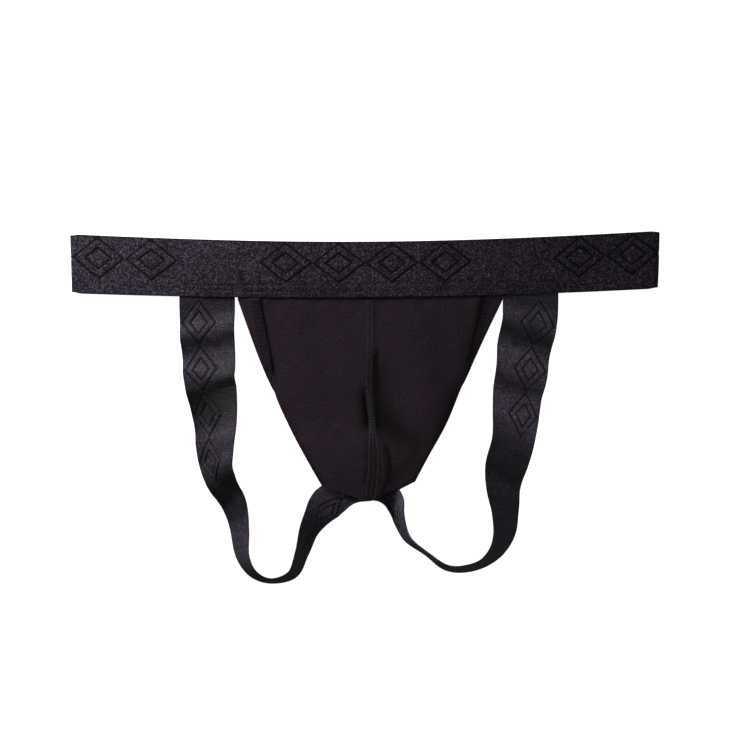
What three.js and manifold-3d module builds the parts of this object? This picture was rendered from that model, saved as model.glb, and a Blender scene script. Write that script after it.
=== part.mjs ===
// Groin protector of the athletic-supporter kind, lying on a table with its front up.
// A loop of wide elastic lies flat as the waistband. A two-layer contour pouch and two leg straps of the
// same elastic are sewn behind the lower edge of its front half, and the straps come back up to the
// pouch's base. Each strap turns on its edge where it rounds its loop.
//
// Millimetres. +X runs along the waistband, +Y from the pouch to the waistband, +Z up from the table.

import * as THREE from "three";
import { mergeVertices } from "three/addons/utils/BufferGeometryUtils.js";
import Module from "manifold-3d";

const wasm = await Module();
wasm.setup();

// Elastic, the same strip for the waistband and the leg straps.
const ELASTIC_WIDTH = 35;
const ELASTIC_THICK = 1.4;

// Waistband: the flattened loop.
const BAND_HALF = 185.6; // half of the flat width, at the upper edge
const BAND_LOWER_Y = 69.8; // the lower edge on the centre line
const BAND_SAG = 4.2; // how far the ends lie above the middle
const BAND_TILT = 1.2; // how far the right end lies above the mean of both ends
const BAND_SWELL = 0.9; // the elastic is this much wider at the ends than where the pouch is sewn on
const BAND_FLARE = 0.007; // the seams gather the lower edge by this share
const LOOP_HEIGHT_END = 7.5; // height of the flattened loop beside its folds
const LOOP_HEIGHT_MID = 12; // and at its middle, where the elastic springs open

// Fold line: the pouch and straps swing up about it, just below the waistband's lower edge.
const FOLD_Y = 68.8;
const FOLD_GAP = 0.3; // on each side of the line

// Cloth layers of the pouch.
const OUTER_THICK = 0.8;
const LINING_THICK = 0.6;
const HEM_THICK = 0.8;
const HEM_WIDTH = 10.5;
const HEM_REACH = 0.76; // share of the pouch's length that the hem drops along
const LAYER_GAP = 0.3;
const SEAM_ALLOWANCE = 10; // how far the pouch and the straps reach up behind the waistband

// Sewing thread.
const THREAD_WIDTH = 0.7;
const THREAD_THICK = 0.4;
const THREAD_GAP = 0.3; // above the cloth that it is sewn to

// Care label, on the inside of the waistband's back half.
const LABEL_WIDTH = 30;
const LABEL_HEIGHT = 24;
const LABEL_THICK = 0.3;
const LABEL_LEFT_X = 6;
const LABEL_LOWER = 5; // above the waistband's lower edge

// Pouch outline, front view: the centre seam, the outer edge of each panel, and the outline of each hem,
// which shows outside the panel near the waistband and is turned under it further down.
const CENTRE_SEAM = [[2.8, 68.5], [3.2, 40], [2.4, 12], [4.5, -10], [5.4, -37], [3.3, -57]];
const LEFT_EDGE = [[-66.8, 68.5], [-65, 56], [-62, 42], [-59.4, 28], [-56.8, 11], [-47.9, -10], [-37.3, -30], [-26.6, -48.3]];
const RIGHT_EDGE = [[74, 68.5], [71.4, 57], [68, 42], [64.6, 25], [58.6, 9], [50.7, -10], [39.5, -30], [31, -46]];
const LEFT_HEM = [[-79.2, 68.5], [-72.7, 50], [-65.4, 30], [-59.4, 16], [-54.5, 7], [-46.5, -10], [-36, -29]];
const RIGHT_HEM = [[85.8, 68.5], [77, 50], [68.3, 31], [62.6, 18], [56.5, 7], [49.2, -10], [39.5, -27]];

// Height of the pouch's outer face at equal steps from the waistband to the base.
const SEAM_HEIGHTS = [9.9, 10.6, 11, 10.4, 13.5, 12.4];
const EDGE_HEIGHTS = [9.6, 5.4, 2.9, 3, 8.6, 11];
const CROWN_POWER = 2.4; // how square the pouch's cross-section is

// Leg straps: [x, y, roll in degrees, height of the outer edge, width] along the middle of the strap, from
// the waistband round the loop to the pouch's base, where the strap is pleated narrower. The roll lifts
// the strap's inner edge.
const LEFT_STRAP = [
  [-99.1, 68.5, 0, 7.2, 35], [-99.1, 57, 4, 4.6, 35], [-98.7, 38, 14, 1.4, 35], [-97.2, 15, 24, 0, 35],
  [-94.4, -10, 39, 0, 35], [-93.6, -32, 51, 0, 35], [-90.4, -47, 58, 0, 35], [-83.9, -60, 64, 0, 35],
  [-80, -77, 70, 0, 35], [-77, -92, 76, 0, 35], [-71, -104.4, 83, 0, 35], [-59, -108.6, 86, 0, 35],
  [-46.5, -103, 81, 0, 35], [-40.2, -90, 77, 0, 35], [-35, -76, 68, 0, 33], [-29, -66.5, 52, 0.2, 29],
  [-22.5, -58.5, 19, 1.2, 23], [-14.5, -52.3, 5, 2.8, 19], [-7, -49.2, 1, 4.8, 17], [0.4, -48.4, 0, 6, 16],
];
const RIGHT_STRAP = [
  [104.5, 68.5, 0, 7.2, 35], [104.4, 58, 4, 5, 35], [101.6, 42, 12, 1.8, 35], [98.4, 20, 21, 0.2, 35],
  [95.6, 0, 31, 0, 35], [92.8, -20, 39, 0, 35], [88.6, -37, 46, 0, 35], [87, -50, 54, 0, 35],
  [88.5, -64, 60, 0, 35], [88.4, -77, 66, 0, 35], [83.5, -89, 76, 0, 35], [74.5, -97.6, 81, 0, 35],
  [62, -101.6, 82, 0, 35], [50, -99.6, 84, 0, 35], [38.5, -91.6, 86, 0, 34], [28, -82, 82, 0, 32],
  [23.4, -72.5, 76, 0, 29], [20.6, -64, 57, 0.4, 26.5], [17, -57, 20, 1.4, 21.5], [11.5, -52, 4, 3.4, 17.5],
  [6.6, -49.8, 0, 5.4, 16],
];

// Each leg loop swings up about a level line over the two places where its strap is sewn, 17 mm above the
// table: [x, y] at the strap's outer top corner and beside the pouch's base. The strap is parted under it.
const LOOP_GAP = 0.6;
const LEFT_LOOP_LINE = [[-116.8, 62], [-14, -66]];
const RIGHT_LOOP_LINE = [[122.4, 62], [14.7, -66]];

const FABRIC_BLACK = 0x2a242a;
const ELASTIC_BLACK = 0x2c282f;
const THREAD_BLACK = 0x1b191c;
const LABEL_WHITE = 0xd8d6d2;

const group = new THREE.Group();

/** Adds one named piece with its own matt or satin material. */
function addPiece(name, geometry, colour, roughness) {
  const material = new THREE.MeshStandardMaterial({ color: colour, roughness, metalness: 0 });
  const piece = new THREE.Mesh(geometry, material);
  piece.name = name;
  group.add(piece);
}

/** A closed block of cells whose points place(u, v, w) sets, each of u, v and w running from 0 to 1. */
function bentBlock(cells, place) {
  const block = new THREE.BoxGeometry(1, 1, 1, ...cells);
  const points = block.getAttribute("position");
  for (let i = 0; i < points.count; i++) {
    const at = place(points.getX(i) + 0.5, points.getY(i) + 0.5, points.getZ(i) + 0.5);
    points.setXYZ(i, at.x, at.y, at.z);
  }
  return block;
}

const planCurve = (points) => new THREE.CatmullRomCurve3(points.map(([x, y]) => new THREE.Vector3(x, y, 0)));

/** A smooth height through values at equal steps of t from 0 to 1. */
function heightCurve(values) {
  const curve = new THREE.SplineCurve(values.map((z, i) => new THREE.Vector2(i / (values.length - 1), z)));
  return (t) => curve.getPoint(t).y;
}

// ---- waistband ----

const FOLD_RADIUS = LOOP_HEIGHT_END / 2;
const BAND_STRAIGHT = BAND_HALF - FOLD_RADIUS; // half the length between the two folded ends

/** Height of the waistband's front face at x. */
function bandTop(x) {
  const share = Math.min(1, Math.abs(x) / BAND_STRAIGHT);
  return LOOP_HEIGHT_END + (LOOP_HEIGHT_MID - LOOP_HEIGHT_END) * (1 - share * share);
}

/** A point of the waistband: x along it, up from its lower edge, and z above the table. */
function onBand(x, up, z) {
  const share = x / BAND_HALF;
  const bow = BAND_SAG * share * share + BAND_TILT * share;
  const swell = (BAND_SWELL * (1 - Math.cos(Math.PI * share))) / 2;
  const gather = 1 - BAND_FLARE * (1 - up / ELASTIC_WIDTH);
  return new THREE.Vector3(x * gather, BAND_LOWER_Y + bow + up * (1 + swell / ELASTIC_WIDTH), z);
}

/** Outline of the flattened loop seen from below the waistband, inset from its outer face. */
function loopOutline(inset) {
  const alongSteps = 24;
  const foldSteps = 6;
  const points = [];
  const addFold = (side, from) => {
    for (let i = 1; i < foldSteps; i++) {
      const angle = from + (Math.PI * i) / foldSteps;
      const x = side * BAND_STRAIGHT + (FOLD_RADIUS - inset) * Math.cos(angle);
      points.push(new THREE.Vector2(x, FOLD_RADIUS + (FOLD_RADIUS - inset) * Math.sin(angle)));
    }
  };
  for (let i = 0; i <= alongSteps; i++) {
    points.push(new THREE.Vector2(BAND_STRAIGHT * ((2 * i) / alongSteps - 1), inset));
  }
  addFold(1, -Math.PI / 2);
  for (let i = alongSteps; i >= 0; i--) {
    const x = BAND_STRAIGHT * ((2 * i) / alongSteps - 1);
    points.push(new THREE.Vector2(x, bandTop(x) - inset));
  }
  addFold(-1, Math.PI / 2);
  return points;
}

/** The elastic loop: a ring of four-cornered cross-sections round the flattened outline. */
function waistband() {
  const outer = loopOutline(0);
  const inner = loopOutline(ELASTIC_THICK);
  const corners = [[inner, 0], [inner, ELASTIC_WIDTH], [outer, ELASTIC_WIDTH], [outer, 0]];
  const ring = new THREE.TorusGeometry(1, 0.5, corners.length, outer.length);
  const points = ring.getAttribute("position");
  for (let i = 0; i < points.count; i++) {
    const [outline, up] = corners[Math.floor(i / (outer.length + 1)) % corners.length];
    const { x, y: z } = outline[(i % (outer.length + 1)) % outer.length];
    const at = onBand(x, up, z);
    points.setXYZ(i, at.x, at.y, at.z);
  }
  return ring;
}

/** Cloth sewn behind the front half of the waistband, from the fold line up to the seam allowance. */
function sewnBehindBand(fromX, toX, thick, cellsAcross) {
  return bentBlock([cellsAcross, 1, 1], (u, v, w) => {
    const x = THREE.MathUtils.lerp(fromX, toX, u);
    const z = bandTop(x) - ELASTIC_THICK - LAYER_GAP - thick * (1 - w);
    const top = onBand(x, SEAM_ALLOWANCE, z);
    return new THREE.Vector3(x, THREE.MathUtils.lerp(FOLD_Y + FOLD_GAP, top.y, v), z);
  });
}

/** A zigzag of thread that swings across along a run of stitches. centre(t, swing) gives a point on the
 *  cloth, with t from 0 to 1 along the run and swing from -1 to 1 across it. */
function zigzag(stitches, along, centre) {
  const segments = 2 * stitches;
  return bentBlock([segments, 1, 1], (u, v, w) => {
    const swing = Math.round(u * segments) % 2 === 0 ? -1 : 1;
    const at = centre(u, swing);
    at.addScaledVector(along, (0.5 - v) * -THREAD_WIDTH);
    at.z += THREAD_GAP + w * THREAD_THICK;
    return at;
  });
}

/** Zigzag stitching on the waistband's front face, over cloth sewn behind it. */
function bandStitching(fromX, toX, fromUp, toUp, stitches) {
  return bentBlock([2 * stitches, 1, 1], (u, v, w) => {
    const swing = Math.round(u * 2 * stitches) % 2;
    const x = THREE.MathUtils.lerp(fromX, toX, u);
    const up = THREE.MathUtils.lerp(fromUp, toUp, swing) + (v - 0.5) * THREAD_WIDTH;
    return onBand(x, up, bandTop(x) + THREAD_GAP + w * THREAD_THICK);
  });
}

/** Zigzag across the butted ends of the loop, on the inside of the back half. */
function joinStitching() {
  const stitches = 8;
  const swingX = 2.5;
  const margin = 2;
  return bentBlock([1, 2 * stitches, 1], (u, v, w) => {
    const swing = Math.round(v * 2 * stitches) % 2 === 0 ? -1 : 1;
    const up = THREE.MathUtils.lerp(margin, ELASTIC_WIDTH - margin, v);
    const x = swing * swingX + (u - 0.5) * THREAD_WIDTH;
    return onBand(x, up, ELASTIC_THICK + THREAD_GAP + w * LABEL_THICK);
  });
}

function careLabel() {
  return bentBlock([4, 1, 1], (u, v, w) => {
    const x = LABEL_LEFT_X + u * LABEL_WIDTH;
    return onBand(x, LABEL_LOWER + v * LABEL_HEIGHT, ELASTIC_THICK + THREAD_GAP + w * LABEL_THICK);
  });
}

// ---- pouch ----

const seamLine = planCurve(CENTRE_SEAM);
const seamHeight = heightCurve(SEAM_HEIGHTS);
const edgeHeight = heightCurve(EDGE_HEIGHTS);

/** A point of the pouch's outer face: u from the centre seam to the panel's edge, v from the waistband
 *  to the base. */
function onPouch(edgeLine, u, v) {
  const at = seamLine.getPointAt(v).lerp(edgeLine.getPointAt(v), u);
  at.z = THREE.MathUtils.lerp(seamHeight(v), edgeHeight(v), Math.pow(u, CROWN_POWER));
  return at;
}

/** One layer of one panel: side is -1 for the left and 1 for the right. */
function pouchLayer(edgeLine, side, depth, thick, fromU, toU) {
  return bentBlock([8, 14, 1], (u, v, w) => {
    const share = side > 0 ? u : 1 - u;
    const at = onPouch(edgeLine, THREE.MathUtils.lerp(fromU, toU, share), 1 - v);
    at.z -= depth + thick * (1 - w);
    return at;
  });
}

/** Height of a hem's upper face, under the panel and its lining. */
function hemTop(along) {
  const under = OUTER_THICK + LINING_THICK + 2 * LAYER_GAP;
  return Math.max(HEM_THICK, edgeHeight(along * HEM_REACH) - under);
}

/** The turned-under edge of the pouch, on the table from about a third of the way down. */
function legHem(outline, side) {
  const line = planCurve(outline);
  const inward = new THREE.Vector3(-side, 0, 0);
  return bentBlock([1, 14, 1], (u, v, w) => {
    const along = 1 - v;
    const at = line.getPointAt(along).addScaledVector(inward, HEM_WIDTH * (side > 0 ? 1 - u : u));
    at.z = hemTop(along) - HEM_THICK * (1 - w);
    return at;
  });
}

function seamStitching() {
  const run = 0.9;
  const swingX = 1.6;
  return bentBlock([1, 2 * 34, 1], (u, v, w) => {
    const swing = Math.round(v * 68) % 2 === 0 ? -1 : 1;
    const share = 0.02 + run * (1 - v);
    const at = seamLine.getPointAt(share);
    at.x += swing * swingX + (u - 0.5) * THREAD_WIDTH;
    at.z = seamHeight(share) + THREAD_GAP + w * THREAD_THICK;
    return at;
  });
}

/** Two-needle stitching that holds the hem, where it shows beside the panel's edge. */
function hemStitching(outline, edgeLine) {
  const line = planCurve(outline);
  const stitches = 10;
  const run = 0.18;
  const lengthRatio = line.getLength() / edgeLine.getLength();
  return bentBlock([1, 2 * stitches, 1], (u, v, w) => {
    const swing = Math.round(v * 2 * stitches) % 2 === 0 ? -1 : 1;
    const along = 0.01 + run * (1 - v);
    const at = line.getPointAt(along).lerp(edgeLine.getPointAt(along * lengthRatio), 0.45 + 0.18 * swing);
    at.x += (u - 0.5) * THREAD_WIDTH;
    at.z = hemTop(along) + THREAD_GAP + w * THREAD_THICK;
    return at;
  });
}

/** Stitching across the base of the pouch, through the tails of both straps. */
function baseStitching(leftEdge, rightEdge) {
  const stitches = 18;
  const farU = 0.86;
  return bentBlock([2 * stitches, 1, 1], (u, v, w) => {
    const swing = Math.round(u * 2 * stitches) % 2;
    const across = (2 * u - 1) * farU;
    const at = onPouch(across < 0 ? leftEdge : rightEdge, Math.abs(across), 0.955 + 0.02 * swing);
    at.y += (v - 0.5) * THREAD_WIDTH;
    at.z += THREAD_GAP + w * THREAD_THICK;
    return at;
  });
}

// ---- leg straps ----

/** A strap as a ribbon on its plan route. side is 1 where the loop's inside is left of the route. */
function legStrap(route, side) {
  const plan = planCurve(route);
  const lie = new THREE.CatmullRomCurve3(route.map(([, , roll, lift, width]) => new THREE.Vector3(roll, lift, width)));
  const up = new THREE.Vector3(0, 0, 1);
  return bentBlock([64, 3, 1], (u, v, w) => {
    const tangent = plan.getTangent(u);
    const inward = new THREE.Vector3(-tangent.y, tangent.x, 0).multiplyScalar(side);
    const { x: rollDegrees, y: lift, z: width } = lie.getPoint(u);
    const roll = THREE.MathUtils.degToRad(THREE.MathUtils.clamp(rollDegrees, 0, 90));
    const across = inward.clone().multiplyScalar(Math.cos(roll)).addScaledVector(up, Math.sin(roll));
    const outward = up.clone().multiplyScalar(Math.cos(roll)).addScaledVector(inward, -Math.sin(roll));
    const at = plan.getPoint(u);
    const base = (width * Math.sin(roll) + ELASTIC_THICK * Math.cos(roll)) / 2;
    at.z = Math.max(0, lift) + base;
    at.addScaledVector(across, side * (v - 0.5) * width);
    return at.addScaledVector(outward, (w - 0.5) * ELASTIC_THICK);
  });
}

function solidOf(geometry) {
  geometry.deleteAttribute("normal");
  geometry.deleteAttribute("uv");
  const merged = mergeVertices(geometry);
  const vertProperties = merged.getAttribute("position").array;
  const triVerts = Uint32Array.from(merged.getIndex().array);
  return new wasm.Manifold(new wasm.Mesh({ numProp: 3, vertProperties, triVerts }));
}

function geometryOf(solid) {
  const { vertProperties, triVerts } = solid.getMesh();
  const geometry = new THREE.BufferGeometry();
  geometry.setAttribute("position", new THREE.BufferAttribute(vertProperties, 3));
  geometry.setIndex(new THREE.BufferAttribute(triVerts, 1));
  geometry.computeVertexNormals();
  return geometry;
}

/** A thin upright wall along a loop's swing line, reaching past both ends of it. */
function partingWall([from, to]) {
  const start = new THREE.Vector2(...from);
  const end = new THREE.Vector2(...to);
  const length = start.distanceTo(end) + 40;
  const wall = new THREE.BoxGeometry(length, LOOP_GAP, 80);
  wall.rotateZ(Math.atan2(end.y - start.y, end.x - start.x));
  wall.translate((start.x + end.x) / 2, (start.y + end.y) / 2, 0);
  return wall;
}

/** Parts a strap under its swing line, into the loop and the two ends that stay with the pouch. */
function partedStrap(strap, line) {
  const pieces = solidOf(strap).subtract(solidOf(partingWall(line))).decompose();
  const bySize = pieces.sort((a, b) => b.volume() - a.volume());
  return bySize.map(geometryOf);
}

// ---- assembly ----

const leftEdge = planCurve(LEFT_EDGE);
const rightEdge = planCurve(RIGHT_EDGE);
const liningDepth = OUTER_THICK + LAYER_GAP;
const halfWidth = ELASTIC_WIDTH / 2;

addPiece("waistband_elastic", waistband(), ELASTIC_BLACK, 0.75);
addPiece("waistband_join_stitching", joinStitching(), THREAD_BLACK, 0.6);
addPiece("care_label", careLabel(), LABEL_WHITE, 0.5);
addPiece("pouch_seam_allowance", sewnBehindBand(-79, 84.6, OUTER_THICK + LINING_THICK, 12), FABRIC_BLACK, 0.9);
addPiece("pouch_seam_stitching", bandStitching(-78, 83.5, 1.5, 9, 44), THREAD_BLACK, 0.6);

addPiece("pouch_panel_left", pouchLayer(leftEdge, -1, 0, OUTER_THICK, 0.008, 1), FABRIC_BLACK, 0.9);
addPiece("pouch_panel_right", pouchLayer(rightEdge, 1, 0, OUTER_THICK, 0.008, 1), FABRIC_BLACK, 0.9);
addPiece("pouch_lining_left", pouchLayer(leftEdge, -1, liningDepth, LINING_THICK, 0.008, 0.985), FABRIC_BLACK, 0.9);
addPiece("pouch_lining_right", pouchLayer(rightEdge, 1, liningDepth, LINING_THICK, 0.008, 0.985), FABRIC_BLACK, 0.9);
addPiece("centre_seam_stitching", seamStitching(), THREAD_BLACK, 0.6);
addPiece("base_stitching", baseStitching(leftEdge, rightEdge), THREAD_BLACK, 0.6);

for (const [name, side, route, line, hem, edgeLine] of [
  ["left", -1, LEFT_STRAP, LEFT_LOOP_LINE, LEFT_HEM, leftEdge],
  ["right", 1, RIGHT_STRAP, RIGHT_LOOP_LINE, RIGHT_HEM, rightEdge],
]) {
  const top = route[0][0];
  const corner = hem[0][0];
  addPiece(`leg_hem_${name}`, legHem(hem, side), FABRIC_BLACK, 0.9);
  addPiece(`leg_hem_stitching_${name}`, hemStitching(hem, edgeLine), THREAD_BLACK, 0.6);
  addPiece(`corner_bartack_${name}`, bandStitching(corner - 1.5, corner + 1.5, 11, 16, 4), THREAD_BLACK, 0.6);
  addPiece(`strap_sewn_end_${name}`, sewnBehindBand(top - halfWidth, top + halfWidth, ELASTIC_THICK, 3), ELASTIC_BLACK, 0.75);
  addPiece(`strap_stitching_${name}`, bandStitching(top - 16, top + 16, 2, 8, 9), THREAD_BLACK, 0.6);
  const [loop, shoulder, tail] = partedStrap(legStrap(route, -side), line);
  addPiece(`leg_strap_${name}`, loop, ELASTIC_BLACK, 0.75);
  addPiece(`strap_shoulder_${name}`, shoulder, ELASTIC_BLACK, 0.75);
  addPiece(`strap_tail_${name}`, tail, ELASTIC_BLACK, 0.75);
}

export default group;
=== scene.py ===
"""Looks for the groin protector, a soft athletic supporter lying flat with its front up.

Every fabric piece is a closed thin mesh made here on the CAD model's lines, with its own stitching.
A piece's UV map is its flat cloth in metres, so the weave and the jacquard follow the cloth as it bends.
"""

import math

import bpy
import numpy as np
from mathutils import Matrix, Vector


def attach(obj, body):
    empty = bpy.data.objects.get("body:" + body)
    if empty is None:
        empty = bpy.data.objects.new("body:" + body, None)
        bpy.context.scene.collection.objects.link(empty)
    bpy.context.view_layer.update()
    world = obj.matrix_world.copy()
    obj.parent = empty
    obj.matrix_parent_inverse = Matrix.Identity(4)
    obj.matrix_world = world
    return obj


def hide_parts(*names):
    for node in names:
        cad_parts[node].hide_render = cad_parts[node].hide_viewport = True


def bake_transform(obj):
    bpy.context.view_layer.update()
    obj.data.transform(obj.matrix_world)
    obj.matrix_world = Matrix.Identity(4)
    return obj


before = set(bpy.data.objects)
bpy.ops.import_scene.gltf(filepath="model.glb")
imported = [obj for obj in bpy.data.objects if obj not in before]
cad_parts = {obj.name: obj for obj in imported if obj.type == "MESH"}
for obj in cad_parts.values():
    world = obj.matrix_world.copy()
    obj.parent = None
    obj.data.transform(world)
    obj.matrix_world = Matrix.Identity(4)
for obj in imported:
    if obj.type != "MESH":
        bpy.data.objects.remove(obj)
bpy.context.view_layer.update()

MM = 0.001

# Elastic strip, and the sides of a thread.
WIDTH = 35.0
THICK = 1.25
EDGE_ROUND = 0.55
THREAD_SIDES = 6

# Waistband, as in the CAD model: a loop pressed flat, with its long edges bowed.
BAND_HALF = 185.6
LOWER_Y = 69.8
SAG = 4.2
TILT = 1.5
SWELL = 0.9
FLARE = 0.007
LOOP_END = 7.5
LOOP_MID = 12.0
FOLD_RADIUS = LOOP_END / 2
BAND_STRAIGHT = BAND_HALF - FOLD_RADIUS
BAND_RINGS = 1210

# Jacquard: lozenges in groups round the loop, and in one run along each strap.
BAND_PITCH = 33.5
BAND_GROUP = 185.0
BAND_RUN = 134.0
LOZENGE_HALF = (15.9, 12.1)
LOZENGE_UP = 21.6
STRAP_PITCH = 29.0
STRAP_LOZENGE_HALF = (13.6, 10.6)
STRAP_LOZENGE_UP = 12.4
STRAP_GROUP = 40 * STRAP_PITCH
LOZENGE_RINGS = (1.0, 0.52)
RAISE = 0.26
GROOVE = 0.42

# Pouch outline in plan: the centre seam and the panels' edges, then the hems' outer edges.
CENTRE_SEAM = [(2.8, 68.5), (3.2, 40), (2.4, 12), (4.5, -10), (5.4, -37), (3.3, -57)]
LEFT_EDGE = [
    (-66.8, 68.5), (-65, 56), (-62, 42), (-59.4, 28), (-56.8, 11), (-47.9, -10), (-37.3, -30),
    (-26.6, -48.3),
]
RIGHT_EDGE = [(74, 68.5), (71.4, 57), (68, 42), (64.6, 25), (58.6, 9), (50.7, -10), (39.5, -30), (31, -46)]
LEFT_HEM = [(-79.2, 68.5), (-72.7, 50), (-65.4, 30), (-59.4, 16), (-54.5, 7), (-46.5, -10), (-36, -29)]
RIGHT_HEM = [(85.8, 68.5), (77, 50), (68.3, 31), (62.6, 18), (56.5, 7), (49.2, -10), (39.5, -27)]
SEAM_HEIGHTS = [9.9, 10.6, 11, 10.4, 13.5, 12.4]
EDGE_HEIGHTS = [9.6, 5.4, 2.9, 3, 8.6, 11]
CROWN_POWER = 2.4

# Leg straps: x, y, roll in degrees, height of the outer edge, width, round the loop.
LEFT_STRAP = [
    (-99.1, 68.5, 0, 7.2, 35), (-99.1, 57, 4, 4.6, 35), (-98.5, 38, 14, 1.4, 35), (-96.6, 15, 24, 0, 35),
    (-94.2, -10, 38, 0, 35), (-93, -32, 50, 0, 35), (-89, -47, 58, 0, 35), (-83.2, -60, 62, 0, 35),
    (-79.2, -77, 70, 0, 35), (-75.6, -92, 75, 0, 35), (-68.4, -102.8, 80, 0, 35),
    (-58.4, -106.9, 83, 0, 35), (-45.4, -103.4, 80, 0, 35), (-39.2, -90.2, 77, 0, 35),
    (-34.2, -76.2, 69, 0, 33), (-28, -66.6, 52, 0.2, 29), (-22, -58.7, 21, 1.6, 23.5),
    (-14.2, -52.7, 5, 5.4, 20), (-7, -49.8, 1, 7.9, 19), (3.4, -49, 0, 8.7, 18),
]
RIGHT_STRAP = [
    (104, 68.5, 0, 7.2, 35), (103.8, 58, 3, 5, 35), (101.1, 42, 11, 1.8, 35), (98, 20, 20, 0.2, 35),
    (95.3, 0, 30, 0, 35), (92.3, -20, 38, 0, 35), (88.6, -37, 41, 0, 35), (86.8, -50, 51, 0, 35),
    (88, -64, 60, 0, 35), (87.4, -77, 65, 0, 35), (82.4, -88.8, 73, 0, 35), (74, -97, 79, 0, 35),
    (62, -100.4, 81, 0, 35), (50, -99.2, 83, 0, 35), (38.5, -91.6, 85, 0, 34), (27.6, -82, 82, 0, 31),
    (23, -72.5, 77, 0, 28), (20, -64, 67, 0.4, 23), (17.2, -56.8, 40, 2, 17), (12, -51.6, 8, 6.6, 15.5),
    (3.6, -49.4, 0, 8.7, 16),
]


# ---- curves ----

def catmull(points, count_per_span=24):
    """A Catmull-Rom curve through the points, spaced by their plan."""
    p = np.array(points, float)
    p = np.vstack([2 * p[0] - p[1], p, 2 * p[-1] - p[-2]])
    made = []
    for i in range(1, len(p) - 2):
        p0, p1, p2, p3 = p[i - 1:i + 3]
        spans = ((p0, p1), (p1, p2), (p2, p3))
        d0, d1, d2 = [max(np.linalg.norm((b - a)[:2]) ** 0.5, 1e-6) for a, b in spans]
        m1 = ((p1 - p0) / d0 - (p2 - p0) / (d0 + d1) + (p2 - p1) / d1) * d1
        m2 = ((p2 - p1) / d1 - (p3 - p1) / (d1 + d2) + (p3 - p2) / d2) * d1
        t = np.linspace(0, 1, count_per_span, endpoint=False)[:, None]
        made.append(
            (2 * t**3 - 3 * t**2 + 1) * p1 + (t**3 - 2 * t**2 + t) * m1
            + (3 * t**2 - 2 * t**3) * p2 + (t**3 - t**2) * m2
        )
    made.append(p[-2:-1])
    return np.vstack(made)


def lengths(points):
    """Length along a polyline up to each of its points."""
    return np.concatenate([[0], np.cumsum(np.linalg.norm(np.diff(points, axis=0), axis=1))])


class Line:
    """A plan curve read by the share of its length."""

    def __init__(self, points):
        self.points = catmull(points)
        self.along = lengths(self.points)
        self.length = self.along[-1]

    def at(self, share):
        s = np.asarray(share, float) * self.length
        return np.stack([np.interp(s, self.along, self.points[:, i]) for i in (0, 1)], -1)


def smooth(edge0, edge1, x):
    """0 at the first edge and 1 at the second, with soft ends."""
    t = np.clip((x - edge0) / (edge1 - edge0), 0, 1)
    return t * t * (3 - 2 * t)


def bump(x, centre, spread):
    """1 at the centre, falling away on both sides."""
    return np.exp(-(((x - centre) / spread) ** 2))


# ---- meshes ----

def add_object(name, data):
    made = bpy.data.objects.new(name, data)
    bpy.context.scene.collection.objects.link(made)
    return made


def make_object(name, vertices, faces, uv, material, smooth_angle=40, shade=None):
    """A mesh in metres from millimetres. uv is each vertex's place on its flat cloth, in millimetres."""
    mesh = bpy.data.meshes.new(name)
    mesh.from_pydata((np.asarray(vertices) * MM).tolist(), [], faces)
    layer = mesh.uv_layers.new(name="cloth")
    corners = np.zeros(len(mesh.loops), np.int32)
    mesh.loops.foreach_get("vertex_index", corners)
    layer.data.foreach_set("uv", (np.asarray(uv)[corners] * MM).astype(np.float32).ravel())
    # shade is painted shade and highlight, kept on the mesh as its fold_shade attribute.
    if shade is not None:
        painted_shade = mesh.attributes.new("fold_shade", "FLOAT", "POINT")
        painted_shade.data.foreach_set("value", np.asarray(shade, np.float32).ravel())
    mesh.polygons.foreach_set("use_smooth", [True] * len(mesh.polygons))
    mesh.set_sharp_from_angle(angle=math.radians(smooth_angle))
    mesh.validate()
    mesh.update()
    mesh.materials.append(material)
    return add_object(name, mesh)


def ring_faces(rings, ring_size, closed):
    """Quads between rings of points. An open tube gets its two ends closed."""
    faces = []
    for i in range(rings if closed else rings - 1):
        a = i * ring_size
        b = ((i + 1) % rings) * ring_size
        for j in range(ring_size):
            k = (j + 1) % ring_size
            faces.append((a + j, a + k, b + k, b + j))
    if not closed:
        faces.append(tuple(range(ring_size - 1, -1, -1)))
        faces.append(tuple((rings - 1) * ring_size + j for j in range(ring_size)))
    return faces


def strip_section(outer_count, inner_count):
    """Cross-section of the elastic: across, normal, and which points lie on the outer face."""
    half = WIDTH / 2 - EDGE_ROUND
    h = THICK / 2
    turn = np.radians([40, 75, 105, 140])
    outer = [(a, h, 1.0) for a in np.linspace(half, -half, outer_count)]
    left = [(-half - EDGE_ROUND * math.sin(t), h * math.cos(t), 0.0) for t in turn]
    inner = [(a, -h, 0.0) for a in np.linspace(-half, half, inner_count)]
    right = [(half + EDGE_ROUND * math.sin(t), h * math.cos(t), 0.0) for t in turn[::-1]]
    return np.array(outer + left + inner + right)


def tube_along(path, radius):
    """Vertices and faces of a round thread along a path, closed at both ends."""
    path = np.asarray(path, float)
    tangent = np.gradient(path, axis=0)
    tangent /= np.linalg.norm(tangent, axis=1)[:, None] + 1e-9
    side = np.cross(tangent, [0, 0, 1.0])
    size = np.linalg.norm(side, axis=1)[:, None]
    side = np.where(size > 1e-3, side / (size + 1e-9), [1.0, 0, 0])
    up = np.cross(side, tangent)
    angle = np.linspace(0, 2 * np.pi, THREAD_SIDES, endpoint=False)
    ring = side[:, None] * np.cos(angle)[None, :, None] + up[:, None] * np.sin(angle)[None, :, None]
    taper = np.ones(len(path))
    taper[[0, -1]] = 0.45
    points = path[:, None] + ring * (radius * taper)[:, None, None]
    return points.reshape(-1, 3), ring_faces(len(path), THREAD_SIDES, False)


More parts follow.
